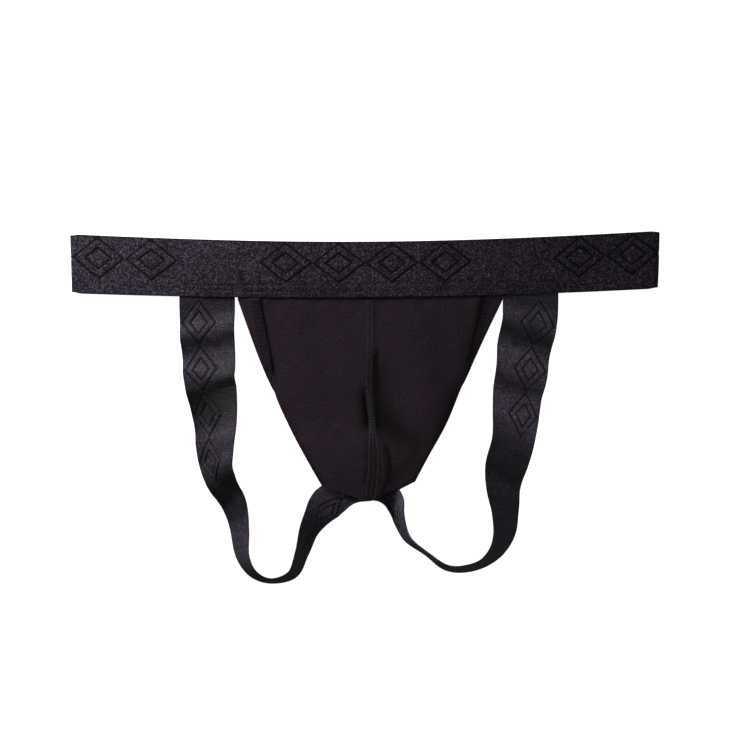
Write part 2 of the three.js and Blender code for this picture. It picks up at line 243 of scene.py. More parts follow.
def threads(name, paths, radius, material):
    """One piece of stitching from many short threads."""
    vertices, faces, uv = [], [], []
    base = 0
    for path in paths:
        v, f = tube_along(path, radius)
        vertices.append(v)
        faces += [tuple(base + i for i in face) for face in f]
        along = np.repeat(lengths(np.asarray(path)), THREAD_SIDES)
        uv.append(np.stack([along, np.tile(np.arange(THREAD_SIDES) * radius, len(path))], -1))
        base += len(v)
    return make_object(name, np.vstack(vertices), faces, np.vstack(uv), material, 60)


def stitch(start, end, rise, points=5):
    """A thread from start to end that dips into the cloth at both ends."""
    t = np.linspace(0, 1, points)[:, None]
    path = np.asarray(start) * (1 - t) + np.asarray(end) * t
    path[:, 2] += rise * np.sin(np.pi * t[:, 0]) ** 0.6 - 0.12
    return path


# ---- materials ----

def node(tree, kind, **values):
    made = tree.nodes.new(kind)
    for key, value in values.items():
        setattr(made, key, value)
    return made


class Value:
    """A value in a material's node tree. Arithmetic on it adds math nodes to the tree."""

    def __init__(self, socket):
        self.socket = socket
        self.tree = socket.id_data

    def __add__(self, other):
        return math_node("ADD", self, other)

    def __sub__(self, other):
        return math_node("SUBTRACT", self, other)

    def __rsub__(self, other):
        return math_node("SUBTRACT", other, self)

    def __mul__(self, other):
        return math_node("MULTIPLY", self, other)

    def __truediv__(self, other):
        return math_node("DIVIDE", self, other)

    def __abs__(self):
        return math_node("ABSOLUTE", self)


def connect(socket, value):
    """Gives a socket a value of the tree, a colour or a number."""
    if isinstance(value, Value):
        value.tree.links.new(value.socket, socket)
    elif isinstance(value, tuple):
        socket.default_value = (*value, 1)
    else:
        socket.default_value = value


def math_node(operation, a, b=0.0, clamp=False):
    tree = (a if isinstance(a, Value) else b).tree
    made = node(tree, "ShaderNodeMath", operation=operation, use_clamp=clamp)
    connect(made.inputs[0], a)
    connect(made.inputs[1], b)
    return Value(made.outputs[0])


def wave(value, length):
    """A sine wave, of a length in millimetres."""
    return math_node("SINE", value * (2 * math.pi / (length * MM)))


def brighten(colour, factor):
    return tuple(c * factor for c in colour)


def ramp(value, stops):
    made = node(value.tree, "ShaderNodeValToRGB")
    elements = made.color_ramp.elements
    while len(elements) < len(stops):
        elements.new(0.5)
    for element, (place, colour) in zip(elements, stops):
        element.position = place
        element.color = (*colour, 1)
    connect(made.inputs[0], value)
    return Value(made.outputs[0])


def mix_colour(factor, a, b, blend="MIX"):
    made = node(a.tree, "ShaderNodeMix", data_type="RGBA", blend_type=blend)
    connect(made.inputs[0], factor)
    connect(made.inputs[6], a)
    connect(made.inputs[7], b)
    return Value(made.outputs[2])


def cloth_material(name, roughness, sheen, specular):
    """A material, its shader, and the flat cloth's coordinates: both, along and across."""
    material = bpy.data.materials.new(name)
    material.use_nodes = True
    tree = material.node_tree
    shader = tree.nodes["Principled BSDF"]
    shader.inputs["Roughness"].default_value = roughness
    shader.inputs["Specular IOR Level"].default_value = specular
    shader.inputs["Sheen Weight"].default_value = sheen
    shader.inputs["Sheen Roughness"].default_value = 0.45
    shader.inputs["Sheen Tint"].default_value = (0.86, 0.82, 0.9, 1)
    uv = Value(node(tree, "ShaderNodeUVMap", uv_map="cloth").outputs[0])
    parts = node(tree, "ShaderNodeSeparateXYZ")
    connect(parts.inputs[0], uv)
    return material, shader, uv, Value(parts.outputs[0]), Value(parts.outputs[1])


def texture(kind, uv, x, y):
    """A texture on the cloth's coordinates in units of x by y millimetres."""
    scaled = node(uv.tree, "ShaderNodeVectorMath", operation="MULTIPLY")
    connect(scaled.inputs[0], uv)
    scaled.inputs[1].default_value = (1 / (x * MM), 1 / (y * MM), 1)
    made = node(uv.tree, kind)
    made.inputs["Scale"].default_value = 1
    connect(made.inputs["Vector"], Value(scaled.outputs[0]))
    return made


def cells(uv, x, y):
    """Distance from the middle of each cell of x by y millimetres, and two random values of that cell."""
    made = texture("ShaderNodeTexVoronoi", uv, x, y)
    split = node(uv.tree, "ShaderNodeSeparateColor")
    connect(split.inputs[0], Value(made.outputs["Color"]))
    return Value(made.outputs["Distance"]), Value(split.outputs[0]), Value(split.outputs[1])


def noise(uv, x, y, detail=2.0, rough=0.5):
    """Noise with patches of about x by y millimetres."""
    made = texture("ShaderNodeTexNoise", uv, x, y)
    made.inputs["Detail"].default_value = detail
    made.inputs["Roughness"].default_value = rough
    return Value(made.outputs[0])


def set_bump(shader, height, distance, strength):
    made = node(height.tree, "ShaderNodeBump")
    made.inputs["Distance"].default_value = distance
    made.inputs["Strength"].default_value = strength
    connect(made.inputs["Height"], height)
    connect(shader.inputs["Normal"], Value(made.outputs[0]))


def lozenge_distance(along, across, pitch, half, up, group):
    """0 in the middle of each lozenge and 1 on its outline, from the cloth's own coordinates."""
    in_group = math_node("FRACT", along / (group * MM) + 0.5) - 0.5
    local = abs(math_node("FRACT", in_group * (group / pitch) + 64) - 0.5)
    off = abs(across - (up - WIDTH / 2) * MM)
    return local * (pitch / half[0]) + off / (half[1] * MM)


# Tones of the elastic's yarn from its darkest cells to its lightest, and their mean.
YARN_TONES = [
    (0.14, (0.0045, 0.0037, 0.0053)), (0.42, (0.0178, 0.0142, 0.0205)),
    (0.62, (0.04, 0.0325, 0.0465)), (0.86, (0.148, 0.125, 0.172)),
]
YARN_MEAN = (0.0437, 0.0362, 0.0505)
WARM_YARN = (0.036, 0.016, 0.03)
WORN_YARN = (0.008, 0.0075, 0.009)
GROOVE_TONE = (0.0018, 0.0015, 0.002)
# The painted shades and highlights go above 1 and a colour ramp doesn't, so the ramp holds them times
# this.
SHADE_SCALE = 0.6


def elastic_material(
    name, pitch, half, up, group, run, tone_up, even, roughness, specular, painted_light, start, stop
):
    """Woven elastic: nubs of yarn in crosswise ribs, with painted shade in the grooves round each raised
    lozenge and along both rims.

    run(along) says where along the strip the lozenges are. even is how far the yarn's tones are evened
    out.
    The painted shade and highlight are given by distance along the strip, between start and stop.
    """
    material, shader, uv, along, across = cloth_material(name, roughness, 0.04, specular)
    distance, tone, tint = cells(uv, 0.66, 0.6)
    soft = noise(uv, 1.3, 2.6, 3.0, 0.6)
    streaks = noise(uv, 2.7, 26)
    wide = noise(uv, 24, 16)
    tones = [(place, brighten(colour, tone_up)) for place, colour in YARN_TONES]
    yarn = ramp(tone * 0.74 + soft * 0.26, tones)
    yarn = mix_colour(even, yarn, brighten(YARN_MEAN, tone_up))
    yarn = mix_colour(tint * 0.34, yarn, WARM_YARN)
    streak_tone = ramp(streaks, [(0.34, (0.72, 0.72, 0.74)), (0.66, (1, 1, 1))])
    yarn = mix_colour(1.0, yarn, streak_tone, "MULTIPLY")
    yarn = mix_colour(math_node("MULTIPLY", 0.6 - wide, 0.5, clamp=True), yarn, WORN_YARN)

    # Painted shade and highlight along the strip, laid over the yarn's colour.
    place = along + across * 0.22 + (wide - 0.5) * (13 * MM)
    share = (place - start * MM) / ((stop - start) * MM)
    stops = [((at - start) / (stop - start), (dark * SHADE_SCALE,) * 3) for at, dark in painted_light]
    yarn = mix_colour(1.0, yarn, ramp(share, stops), "MULTIPLY")

    lozenge = lozenge_distance(along, across, pitch, half, up, group)
    lines = [math_node("SUBTRACT", 1.9, abs(lozenge - ring) / 0.045, clamp=True) for ring in LOZENGE_RINGS]
    groove = math_node("MAXIMUM", *lines) * run(along)
    # Painted shade: near-black in the grooves round the lozenges, and darker along both rims where the
    # rounded edges turn from the light.
    edge = math_node("GREATER_THAN", abs(across), (WIDTH / 2 - 1.1) * MM)
    shade = math_node("MAXIMUM", groove * 0.93, edge * 0.3)
    connect(shader.inputs["Base Color"], mix_colour(shade, yarn, GROOVE_TONE))
    height = wave(along, 1.15) * 0.22 - distance * 0.9 - groove * 1.2
    set_bump(shader, height, 0.22 * MM, 0.9)
    return material


def knit_material(name, colour, wale, course, fleck, sheen, shaded):
    """Fine jersey: columns of small stitches with a soft nap, a faint warm fleck and a mottle.

    A shaded one is multiplied by the mesh's fold_shade attribute: painted shade in the folds and seams,
    and a painted highlight.
    """
    material, shader, uv, along, across = cloth_material(name, 0.88, sheen, 0.2)
    columns = abs(wave(along, 2 * wale))
    loops = math_node("SINE", across * (2 * math.pi / (course * MM)) + columns * 2.2)
    grain = noise(uv, 0.8, 1.1, 3.0, 0.65)
    drift = noise(uv, 15, 22)
    mottle = noise(uv, 2.3, 3.1, 4.0, 0.65)
    low = brighten(colour, 1 - fleck)
    high = (colour[0] * (1 + 1.25 * fleck), colour[1] * (1 + 0.8 * fleck), colour[2] * (1 + fleck))
    toned = ramp(grain, [(0.3, low), (0.5, colour), (0.72, high)])
    toned = mix_colour(drift * 0.35, toned, brighten(colour, 0.6))
    mottle_tone = ramp(mottle, [(0.35, (0.64, 0.84, 0.86)), (0.63, (1, 0.88, 0.94))])
    toned = mix_colour(1.0, toned, mottle_tone, "MULTIPLY")
    if shaded:
        painted_shade = node(uv.tree, "ShaderNodeAttribute", attribute_name="fold_shade")
        toned = mix_colour(1.0, toned, Value(painted_shade.outputs["Color"]), "MULTIPLY")
    connect(shader.inputs["Base Color"], toned)
    set_bump(shader, columns * 0.6 + loops * 0.3 + grain * 0.9, 0.12 * MM, 0.7)
    return material


def thread_material(name, colour, specular):
    material, shader, uv, along, across = cloth_material(name, 0.55, 0.04, specular)
    twist = wave(along + across, 0.35)
    stops = [(0, brighten(colour, 0.5)), (1, brighten(colour, 1.7))]
    connect(shader.inputs["Base Color"], ramp(twist * 0.25 + 0.5, stops))
    set_bump(shader, twist, 0.05 * MM, 0.6)
    return material


def label_material():
    material, shader, uv, along, across = cloth_material("label_satin", 0.42, 0.15, 0.5)
    stops = [(0.3, (0.6, 0.59, 0.56)), (0.7, (0.74, 0.73, 0.7))]
    connect(shader.inputs["Base Color"], ramp(noise(uv, 3, 0.4), stops))
    set_bump(shader, wave(across, 0.5), 0.05 * MM, 0.5)
    return material


def band_run(along):
    """1 where the waistband's groups of lozenges are."""
    turns = (along + BAND_RUN * MM / 2) / (BAND_GROUP * MM)
    return math_node("LESS_THAN", math_node("FRACT", turns), BAND_RUN / BAND_GROUP)


def strap_run(first, last, again):
    """1 between the first two distances along a strap, and from the third to the strap's end."""
    def run(along):
        spans = []
        for start, stop in ((first, last), (again, again + 60)):
            after = math_node("GREATER_THAN", along, start * MM)
            spans.append(after * math_node("LESS_THAN", along, stop * MM))
        return math_node("MAXIMUM", *spans)
    return run


# Distances along each strap, from the waistband's lower edge, between which it shows lozenges.
STRAP_RUNS = {"left": (0.5, 116, 219), "right": (0.5, 87, 232)}

# Painted light and shade by distance in millimetres along the waistband and each strap. On the waistband
# it is a painted fall of light, brighter at its left end and darker to its right.
BAND_PAINTED_LIGHT = [
    (-371, 0.9), (-190, 1), (-150, 1.05), (20, 1.04), (70, 0.92), (110, 0.74), (184, 0.68), (250, 0.8),
    (371, 0.9),
]
# On the straps: painted shade in the folds, and painted highlights, above 1, on their lit slopes.
STRAP_PAINTED_LIGHT = {
    "left": [
        (2, 0.5), (10, 0.7), (16, 0.8), (27, 0.28), (36, 0.62), (43, 0.85), (48, 0.55), (53, 0.1),
        (64, 0.06), (71, 0.22), (78, 0.5), (87, 1), (95, 0.7), (103, 1.05), (111, 0.3), (116, 0.03),
        (127, 0.03), (132, 0.5), (139, 0.5), (147, 1.6), (166, 1.66), (175, 0.6), (186, 0.3), (236, 0.3),
        (247, 1.1), (262, 1.5),
    ],
    "right": [
        (2, 0.42), (10, 1.1), (24, 0.16), (31, 0.6), (38, 1.66), (46, 1.3), (54, 0.3), (62, 1.4),
        (68, 1.66), (76, 1.66), (84, 1), (96, 0.26), (110, 0.2), (119, 0.6), (130, 0.4), (165, 0.38),
        (190, 0.38), (202, 0.8), (210, 1.66), (258, 1.66),
    ],
}
BAND_LOZENGES = (BAND_PITCH, LOZENGE_HALF, LOZENGE_UP, BAND_GROUP)
STRAP_LOZENGES = (STRAP_PITCH, STRAP_LOZENGE_HALF, STRAP_LOZENGE_UP, STRAP_GROUP)

band_cloth = elastic_material(
    "waistband_elastic", *BAND_LOZENGES, band_run,
    tone_up=1.72, even=0.12, roughness=0.66, specular=0.07, painted_light=BAND_PAINTED_LIGHT, start=-371, stop=371,
)
strap_cloth = {}
for name in ("left", "right"):
    strap_cloth[name] = elastic_material(
        f"strap_elastic_{name}", *STRAP_LOZENGES, strap_run(*STRAP_RUNS[name]),
        tone_up=2.7, even=0.5, roughness=0.5, specular=0.2, painted_light=STRAP_PAINTED_LIGHT[name], start=0, stop=300,
    )
jersey = knit_material("pouch_jersey", (0.0305, 0.0186, 0.026), 0.55, 0.6, 0.95, 0.05, True)
hem_jersey = knit_material("hem_jersey", (0.0305, 0.0202, 0.029), 0.55, 0.6, 0.7, 0.05, True)
lining = knit_material("lining_mesh", (0.026, 0.0215, 0.026), 0.9, 0.9, 0.5, 0.08, False)
seam_thread = thread_material("thread", (0.041, 0.033, 0.042), 0.45)
band_thread = thread_material("thread_band", (0.0098, 0.008, 0.0105), 0.4)
hem_thread = thread_material("thread_hem", (0.003, 0.0022, 0.0031), 0.06)
label = label_material()


# ---- relief of the elastic ----

def lozenge_relief(along, up, pitch, half, centre, group, where):
    """The raised lozenges and the grooves round them, where there are any."""
    in_group = (along / group + 0.5) % 1 - 0.5
    local = np.abs((in_group * group / pitch) % 1 - 0.5) * pitch
    d = local / half[0] + np.abs(up - centre) / half[1]
    raised = smooth(1.02, 0.93, d) * smooth(0.5, 0.6, d) + 0.4 * smooth(0.5, 0.4, d)
    grooves = sum(bump(d, ring, 0.065) for ring in LOZENGE_RINGS)
    return (RAISE * raised - GROOVE * grooves) * where


# ---- waistband ----

def band_top(x):
    share = np.minimum(1, np.abs(x) / BAND_STRAIGHT)
    return LOOP_END + (LOOP_MID - LOOP_END) * (1 - share**2)


def band_bow(x):
    """How far the waistband's lower edge stands above its middle."""
    share = x / BAND_HALF
    return SAG * share**2 + TILT * share


def on_band(x, up, z):
    """A point of the waistband: up is along the cloth from its lower edge, and z is off the floor."""
    share = x / BAND_HALF
    swell = SWELL * (1 - np.cos(np.pi * share)) / 2 + 0.8 * share**2 - 0.45 * share
    gather = 1 - FLARE * (1 - up / WIDTH)
    corner = 0.7 * smooth(0.965, 1.0, np.abs(share)) * (2 * up / WIDTH - 1) ** 5
    return np.stack([x * gather, LOWER_Y + band_bow(x) + up * (1 + swell / WIDTH) - corner, z], -1)


def build_waistband():
    h = THICK / 2
    bend = FOLD_RADIUS - h
    straight = np.linspace(-BAND_STRAIGHT, BAND_STRAIGHT, 400)
    turn = np.radians(np.linspace(-90, 90, 24)[1:-1])
    right = [(BAND_STRAIGHT + bend * math.cos(t), FOLD_RADIUS + bend * math.sin(t)) for t in turn]
    left = [(-x, z) for x, z in right[::-1]]
    back = [(x, h) for x in straight]
    front = [(x, band_top(x) - h) for x in straight[::-1]]
    outline = np.array(back + right + front + left + back[:1])
    s = lengths(outline)
    sample = np.linspace(0, s[-1], BAND_RINGS, endpoint=False)
    x = np.interp(sample, s, outline[:, 0])
    z = np.interp(sample, s, outline[:, 1])
    front_centre = sample[np.argmin(np.abs(x) + 100 * (z < LOOP_END / 2))]
    dx = np.roll(x, -2) - np.roll(x, 2)
    dz = np.roll(z, -2) - np.roll(z, 2)
    size = np.hypot(dx, dz)
    along, x, z, normal_x, normal_z = [
        values[:, None] for values in (front_centre - sample, x, z, dz / size, -dx / size)
    ]
    across, height, on_face = strip_section(58, 8).T
    up = across + WIDTH / 2
    in_group = ((along + BAND_RUN / 2) / BAND_GROUP) % 1 < BAND_RUN / BAND_GROUP
    relief = lozenge_relief(along, up, *BAND_LOZENGES, in_group)
    on_front = z > LOOP_END / 2
    sewn = smooth(-84, -78, x) * smooth(90, 84, x) * on_front * smooth(11, 9.5, up)
    pucker = 0.1 * np.sin(x / 1.9 * np.pi) * np.sin(up / 2.1 * np.pi) * sewn
    press = -0.25 * sewn * smooth(1, 3, up)
    drift = 0.28 * np.sin(along / 31 + 0.7) * np.sin(up / 15 + 1)
    drift = drift + 0.2 * np.sin(along / 12.3) * np.sin(up / 9)
    off = height + (relief - 0.12 + pucker + press) * on_face + drift * on_front
    points = on_band(x + normal_x * off, np.broadcast_to(up, off.shape), z + normal_z * off)
    points = points.reshape(-1, 3)
    points[:, 2] = np.maximum(points[:, 2], 0.02)
    uv = np.stack(np.broadcast_arrays(along, across), -1).reshape(-1, 2)
    faces = ring_faces(BAND_RINGS, len(across), True)
    return make_object("waistband", points, faces, uv, band_cloth)


waistband = build_waistband()
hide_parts("waistband_elastic")
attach(waistband, "waistband")


def band_point(x, up):
    """A point on the waistband's front face."""
    x = np.asarray(x, float)
    return on_band(x, np.asarray(up, float), band_top(x))


# ---- leg straps ----

TOP_Y = 68.5
PART_Y = 66.0
# The straps' columns between two of their given places.
STRAP_SPAN = 60


def strap_frame(route):
    """The strap's line from behind the band, and distances along it from the pouch's top line."""
    x = route[0][0]
    behind = band_top(x) - 3.1
    line = catmull([(x, 82.5, 0, behind, 35), (x, 75.5, 0, behind, 35)] + route, STRAP_SPAN)
    along = lengths(line[:, :2])
    last_spans = slice(-3 * STRAP_SPAN, None)
    start = np.interp(TOP_Y, line[::-1, 1][last_spans], along[::-1][last_spans])
    return line, along - start


def moving_mean(values, weights):
    padded = np.pad(values, len(weights) // 2, mode="edge")
    return np.convolve(padded, weights / weights.sum(), "valid")


def strap_points(line, along, side, at, section, shift):
    """Points of a strap at the given distances along it. shift moves the cloth along its normal."""
    x, y, roll, lift, width = [np.interp(at, along, line[:, i]) for i in range(5)]
    tangent = np.stack([np.gradient(x, at), np.gradient(y, at)], -1)
    tangent /= np.linalg.norm(tangent, axis=1)[:, None]
    inward = np.stack([-tangent[:, 1], tangent[:, 0], np.zeros(len(at))], -1) * side
    up = np.array([0, 0, 1.0])
    roll = np.radians(np.clip(roll, 0, 89))
    across = inward * np.cos(roll)[:, None] + up * np.sin(roll)[:, None]
    outward = up * np.cos(roll)[:, None] - inward * np.sin(roll)[:, None]
    z = np.maximum(0, lift) + (width * np.sin(roll) + 1.4 * np.cos(roll)) / 2
    centre = np.stack([x, y, z], -1)
    a = section[:, 0][None] * (width / WIDTH)[:, None]
    n = section[:, 1][None] + shift
    return centre[:, None] + across[:, None] * a[..., None] + outward[:, None] * n[..., None]


def strap_waves(name, along, across):
    """The waves of slack elastic, from its slopes along the strap, slanting a little across it."""
    place, slope, slant = np.array(SLOPES[name], float).T
    step = 0.5
    fine = np.arange(-20, 300, step)
    height = np.cumsum(moving_mean(np.interp(fine, place, slope), np.hanning(21))) * step
    height -= np.interp(fine, fine[::40], moving_mean(height[::40], np.ones(5)))
    height *= smooth(0, 14, fine) * smooth(262, 240, fine)
    height = np.interp(along + across * np.interp(along, place, slant), fine, height)
    height = height + 0.12 * np.sin(along / 4.1 + across / 6) * np.sin(across / 9 + along / 23)
    return height + 0.25 * np.sin(across / 8 + along / 17) * smooth(6, 24, along)


# Distance along the strap, slope of its cloth there, and how far the fold slants across it.
SLOPES = {
    "left": [
        (0, 0, 0), (8, 0.15, 0.1), (16, 0.42, 0.25), (26, -0.5, 0.1), (35, 0, 0), (45, 0.6, -0.2),
        (56, -0.6, 0.35), (66, -0.45, 0.2), (75, 0, 0.2), (87, 0.55, 0.1), (95, -0.25, -0.2),
        (103, 0.6, 0), (113, -0.5, 0.3), (123, -0.85, 0.05), (131, 0, 0.2), (138, -0.1, 0),
        (150, 0.6, -0.1), (164, 0.5, 0), (174, -0.2, 0), (190, -0.3, 0), (215, -0.2, 0.2),
        (240, -0.4, 0), (252, 0.3, 0), (262, 0.4, 0), (300, 0, 0),
    ],
    "right": [
        (0, -0.1, 0), (10, 0.5, 0.2), (24, -0.6, 0.1), (39, 0.55, 0.15), (56, -0.6, 0.1), (64, 0.2, 0),
        (76, 0.6, -0.1), (86, 0.2, 0.1), (96, -0.5, 0.1), (106, -0.5, 0.2), (116, 0.45, 0),
        (130, -0.3, 0.1), (146, 0.1, 0), (165, -0.3, 0), (185, 0.2, 0), (200, -0.4, 0), (212, 0.1, 0),
        (222, 0.6, 0), (236, -0.2, 0), (246, -0.5, 0), (258, 0.2, 0), (300, 0, 0),
    ],
}


def build_strap(name, side, route, top):
    """The strap's short length at the waistband, or the rest of it, down round the loop to its tail."""
    line, along = strap_frame(route)
    part = TOP_Y - PART_Y
    first, last = (along[0], part) if top else (part, along[-1])
    step = 0.6 if top else 0.55
    at = np.linspace(first, last, max(8, round((last - first) / step)))
    section = strip_section(60, 6)
    across, height, on_face = section.T
    begin, end, again = STRAP_RUNS[name]
    shows = ((at > begin) & (at < end)) | (at > again)
    relief = lozenge_relief(at[:, None], across + WIDTH / 2, *STRAP_LOZENGES, shows[:, None])
    roll = np.interp(at, along, line[:, 2])[:, None]
    calm = 1 - 0.78 * smooth(5, 36, roll)
    shift = calm * strap_waves(name, at[:, None], across) + (relief - 0.1) * on_face
    points = strap_points(line, along, side, at, section, shift)
    sunk = np.maximum(0.05 - points[..., 2].min(axis=1), 0)
    reach = np.stack([np.roll(sunk, k) for k in range(-12, 13)]).max(axis=0)
    points[..., 2] += moving_mean(reach, np.hanning(27))[:, None]
    uv = np.stack(np.broadcast_arrays(at[:, None], across), -1).reshape(-1, 2)
    title = f"strap_top_{name}" if top else f"strap_loop_{name}"
    faces = ring_faces(len(at), len(section), False)
    piece = make_object(title, points.reshape(-1, 3), faces, uv, strap_cloth[name])
    return piece, (last - first) * MM


for name, side, route in (("left", 1, LEFT_STRAP), ("right", -1, RIGHT_STRAP)):
    top, top_length = build_strap(name, side, route, True)
    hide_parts(f"strap_sewn_end_{name}")
    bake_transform(top)
    loop, loop_length = build_strap(name, side, route, False)
    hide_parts(f"leg_strap_{name}", f"strap_shoulder_{name}", f"strap_tail_{name}")
    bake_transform(loop)


# ---- pouch ----

SIDES = (("left", -1), ("right", 1))
ALLOWANCE = 11.0
HEM_WIDTH = 15.5
HEM_CURL = 0.35
# Steps in the panels' rolled outer edge.
ROLL_STEPS = 8

seam_line = Line(CENTRE_SEAM)
SEAM_LENGTH = seam_line.length
edge_lines = {"left": Line(LEFT_EDGE), "right": Line(RIGHT_EDGE)}
hem_lines = {"left": Line(LEFT_HEM), "right": Line(RIGHT_HEM)}


def height_curve(values, share):
    """A smooth curve through equally spaced heights."""
    points = catmull([(i, v) for i, v in enumerate(values)], 16)
    return np.interp(share * (len(values) - 1), points[:, 0], points[:, 1])


def rows_down(line, above, below, end=1.0):
    """Shares of the line's length, from the top of the sewn allowance down to the given share."""
    allowance = np.linspace(-ALLOWANCE / line.length, 0, above, endpoint=False)
    return np.concatenate([allowance, np.linspace(0, end, below)])


def tuck(x, y, z, above, under, reach):
    """Carries cloth up behind the waistband, under its front layer, and returns its new y and z."""
    behind = band_top(x) - THICK - under
    z = z + (behind - z) * smooth(0, reach, above)
    return y + above + band_bow(x) * smooth(0, 3, above), z


def seam_x(y):
    points = seam_line.points
    return np.interp(-y, -points[:, 1], points[:, 0])


def trough(x, y, path, width, depth):
    """A soft valley along a polyline of (x, y), or a ridge where its depth is below 0."""
    best = np.full(np.shape(x), 1e9)
    for (x0, y0), (x1, y1) in zip(path, path[1:]):
        dx, dy = x1 - x0, y1 - y0
        t = np.clip(((x - x0) * dx + (y - y0) * dy) / (dx * dx + dy * dy), 0, 1)
        best = np.minimum(best, (x - x0 - t * dx) ** 2 + (y - y0 - t * dy) ** 2)
    return -depth * np.exp(-best / width**2)


PLEAT = [(9, -20), (11.6, -27), (12.6, -36), (12, -45), (9.6, -52), (5.5, -57.5)]

# Valleys and ridges of the pouch: a path, half its width and its depth.
VALLEYS = [
    ([(7.6, 34), (6.6, 20), (7.2, 4), (9, -12)], 2.6, 1.5),
    ([(15, -27), (15.4, -38), (14.2, -47)], 2.0, 1.0),
    ([(-16, -12), (-7, -19), (0, -26)], 3.2, -1.0),
    ([(-17, -17.5), (-9, -24), (-1, -31)], 3.2, 0.6),
    ([(-30, 50), (-22, 20), (-16, -8)], 12, 0.9),
    ([(-44, 56), (-38, 20), (-28, -12)], 9, -1.0),
    ([(30, 50), (37, 20), (37, -8)], 11, -1.4),
    ([(52, 56), (50, 34), (46, 16)], 7, 0.6),
    ([(16, -46), (26, -40), (36, -24)], 4.5, 1.3),
]

# Darkened lines of the pouch: a path, half its width, and how much light is lost on it.
SHADOWS = [
    ([(6.0, 31), (7.2, 12), (8.6, 0), (10, -12)], 4.4, 0.68),
    ([(9, -5), (17, -13), (29, -19)], 8.0, 0.68),
    ([(12.6, -22), (14.4, -29), (14.9, -37), (14, -45), (10.6, -52)], 1.5, 0.72),
    ([(0.4, -20), (0.8, -36), (-0.6, -46)], 1.3, 0.5),
    ([(-17, -19), (-9, -26), (-2, -33)], 3.0, 0.14),
    ([(14, -55), (22, -50.5), (31, -46)], 2.5, 0.4),
]
EDGE_SHADOWS = {
    "left": [
        ([(-66.4, 69), (-62, 44), (-57.5, 22)], 1.9, 0.95),
        ([(-47, -10), (-36, -31), (-26, -48)], 1.6, 0.45),
    ],
    "right": [
        ([(73.4, 70), (69.6, 50), (65.6, 31)], 1.9, 0.95),
        ([(57, 10), (50, -10), (38.6, -30), (30, -46)], 4.5, 0.45),
    ],
}


def pouch_relief(x, y):
    """How far the pouch's cloth stands above its plain crowned form."""
    off = x - seam_x(y)
    low = smooth(-12, -30, y)
    free = smooth(67, 58, y)
    ridge = 3.4 + 1.8 * low - 1.0 * bump(y, 0, 15)
    z = (0.55 + 0.7 * low) * bump(off, 0, ridge) * free - 0.3 * bump(off, 0, 0.9) * free
    beside = off + 2.3
    z = z - 3.6 * smooth(17, 3, y) * smooth(-20, -8, y) * bump(beside, 0, np.where(beside < 0, 3.6, 1.5))
    away = x - np.interp(-y, [-34, -12, 8, 20], [9, 14, 23, 27])
    z = z - 3.9 * smooth(36, 10, y) * smooth(-31, -12, y) * bump(away, 0, np.where(away < 0, 9.0, 12.0))
    z = z + 2.6 * bump(x, -2, 20) * bump(y, -36, 16)
    pleat_x = np.interp(-y, [-p[1] for p in PLEAT], [p[0] for p in PLEAT])
    share = np.clip(off / np.maximum(pleat_x - seam_x(y), 1.5), 0, 1)
    z = z + 1.7 * share**1.6 * smooth(pleat_x + 1.0, pleat_x - 0.7, x) * smooth(-19, -27, y)
    for path, width, depth in VALLEYS:
        z = z + trough(x, y, path, width, depth)
    z = z + bump(y, 66.5, 5.5) * (0.24 * np.sin(x / 2.1) + 0.2 * np.sin(x / 3.7 + 1))
    z = z + 0.22 * np.sin(x / 6.1 + y / 17) * np.sin(y / 9.5 + x / 30)
    return z + 0.12 * np.sin(x / 2.9 - y / 7) * np.sin(y / 5.3)


def pouch_shade(name, x, y):
    """Painted shade in the pouch's folds and seams, as a factor on its colour: 1 on open cloth, and above
    1 where a highlight is painted.
    """
    off = x - seam_x(y)
    beside = off + 2.7
    valley = smooth(21, 6, y) * smooth(-19, -9, y) * bump(beside, 0, np.where(beside < 0, 3.2, 2.2))
    shade = 1 - 0.88 * valley
    shade = shade * (1 - 0.5 * bump(off, 0, 4.4) * smooth(-16, -25, y))
    shade = shade * (1 - 0.3 * bump(off, 0, 2.4) * smooth(-20, -6, y)) * (1 - 0.3 * bump(off, 0, 0.9))
    # A painted highlight on the right of the pouch's middle.
    shade = shade * (1 + 0.2 * bump(x, 38, 15) * bump(y, 15, 22))
    for path, width, loss in SHADOWS + EDGE_SHADOWS[name]:
        shade = shade * (1 + trough(x, y, path, width, loss))
    return shade


BASE_LINE = [
    (-26.6, -48.6), (-14.6, -52.8), (-5.8, -55.6), (-2.5, -57.4), (3.3, -57.8), (6.2, -57.4), (10, -54.2),
    (12.5, -52.8), (22, -50.6), (31, -46),
]


def base_drop(x, share):
    """How far the pouch's lower edge lies from the straight line that its panels would end on."""
    plain = np.interp(x, [-26.6, 3.3, 31], [-48.3, -57, -46])
    shaped = np.interp(x, [p[0] for p in BASE_LINE], [p[1] for p in BASE_LINE])
    return (shaped - plain) * smooth(0.84, 1, share)


def panel_point(name, u, v):
    """A point of the panel's upper face. v below 0 is the allowance sewn behind the waistband."""
    down = np.maximum(v, 0)
    across = np.minimum(u, 1)[..., None]
    at = seam_line.at(down) * (1 - across) + edge_lines[name].at(down) * across
    x, y = at[..., 0], at[..., 1]
    crown = across[..., 0] ** CROWN_POWER
    z = height_curve(SEAM_HEIGHTS, down) * (1 - crown) + height_curve(EDGE_HEIGHTS, down) * crown
    z = z + pouch_relief(x, y) * smooth(1.0, 0.93, u)
    y, z = tuck(x, y, z, np.maximum(-v, 0) * SEAM_LENGTH, 0.45, 3)
    return x, y, z


def grid_normals(grid):
    across = np.gradient(grid, axis=1)
    down = np.gradient(grid, axis=0)
    normal = np.cross(across, down)
    return normal / (np.linalg.norm(normal, axis=2)[..., None] + 1e-12)


